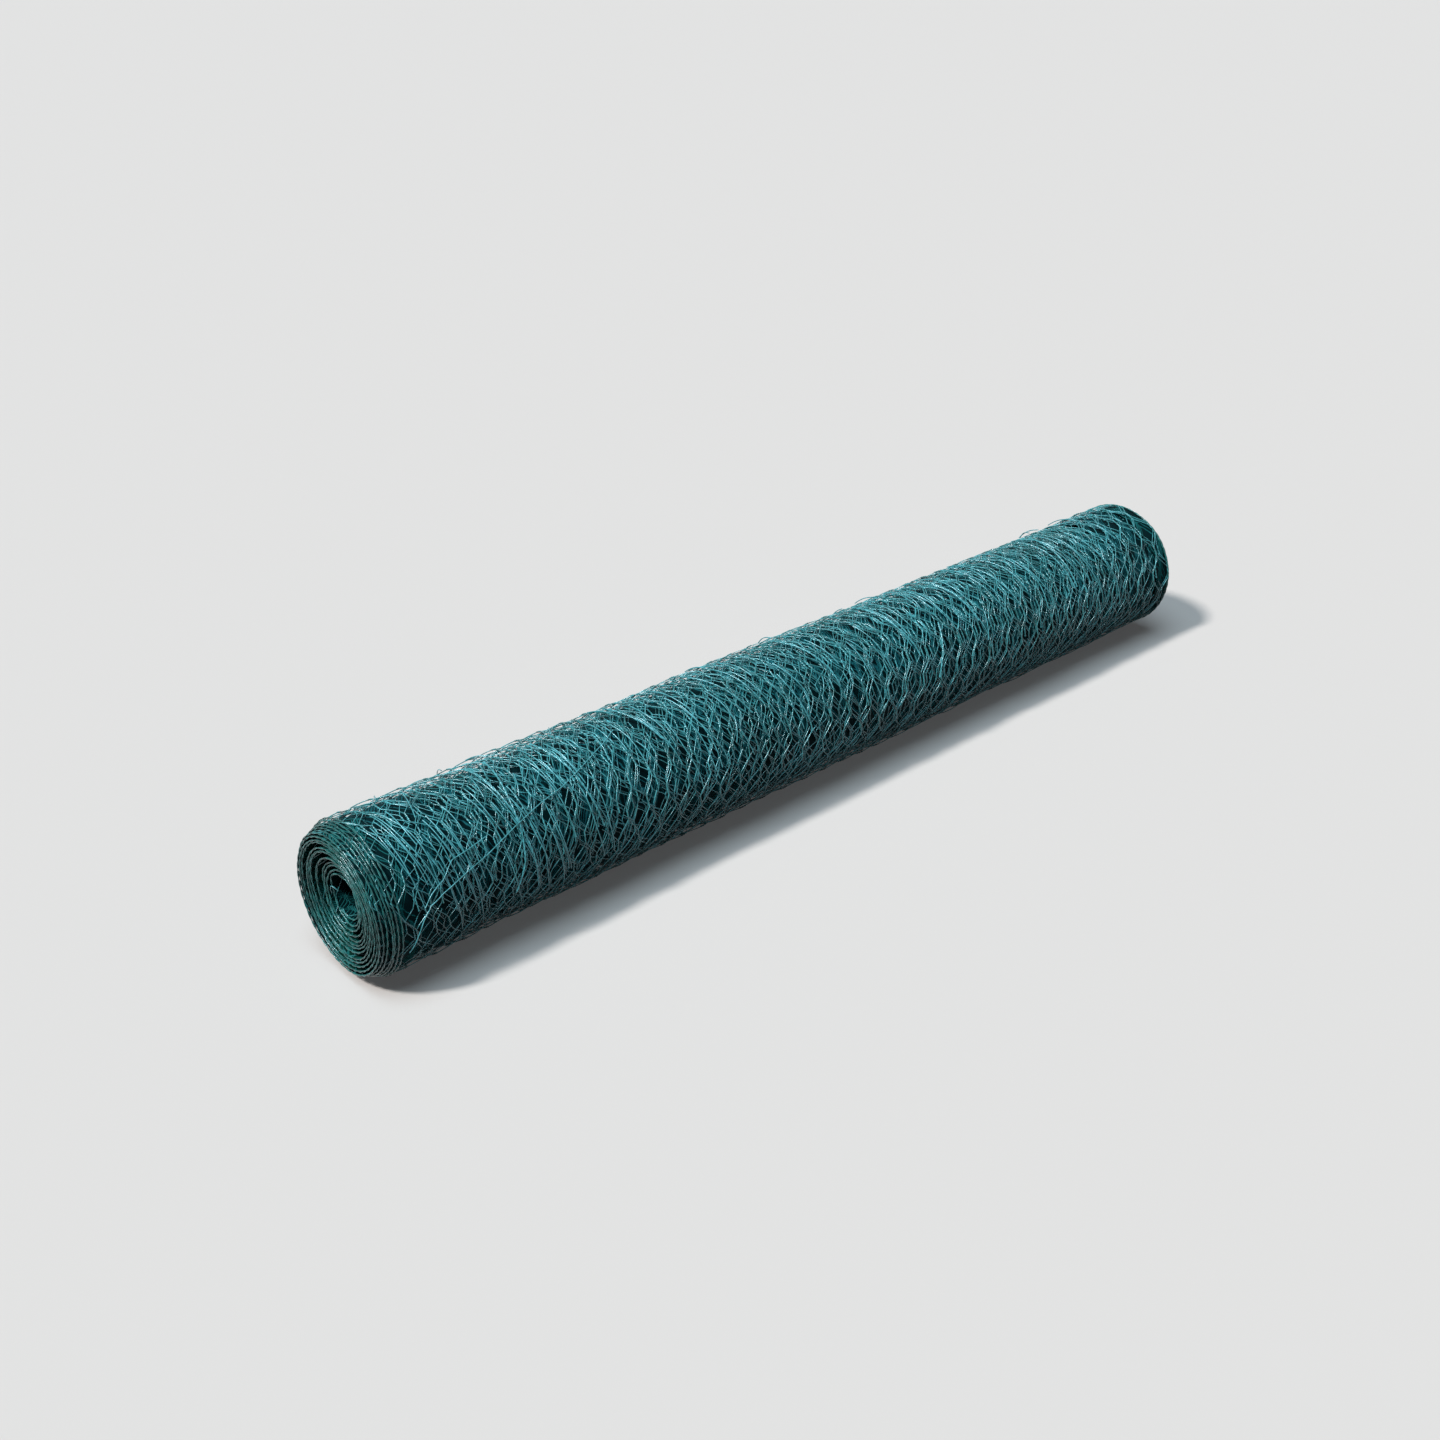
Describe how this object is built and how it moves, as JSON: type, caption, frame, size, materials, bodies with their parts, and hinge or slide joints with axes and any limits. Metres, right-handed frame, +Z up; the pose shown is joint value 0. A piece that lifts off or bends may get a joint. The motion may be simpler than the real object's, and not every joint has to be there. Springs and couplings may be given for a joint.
{
  "type": "roll of hexagonal wire netting",
  "caption": "Tightly wound roll of green coated hexagonal wire netting with an open bore, lying on its side.",
  "frame": {"origin": "on the floor, under the middle of the roll", "axes": "+X along the roll's axis towards the end with the smaller step-back, +Z up"},
  "size_m": [1, 0.1348, 0.135],
  "materials": {
    "coated_wire": "glossy dark green plastic coat on wire"
  },
  "bodies": {
    "root": {"netting_roll": "coated_wire"}
  },
  "joints": []
}
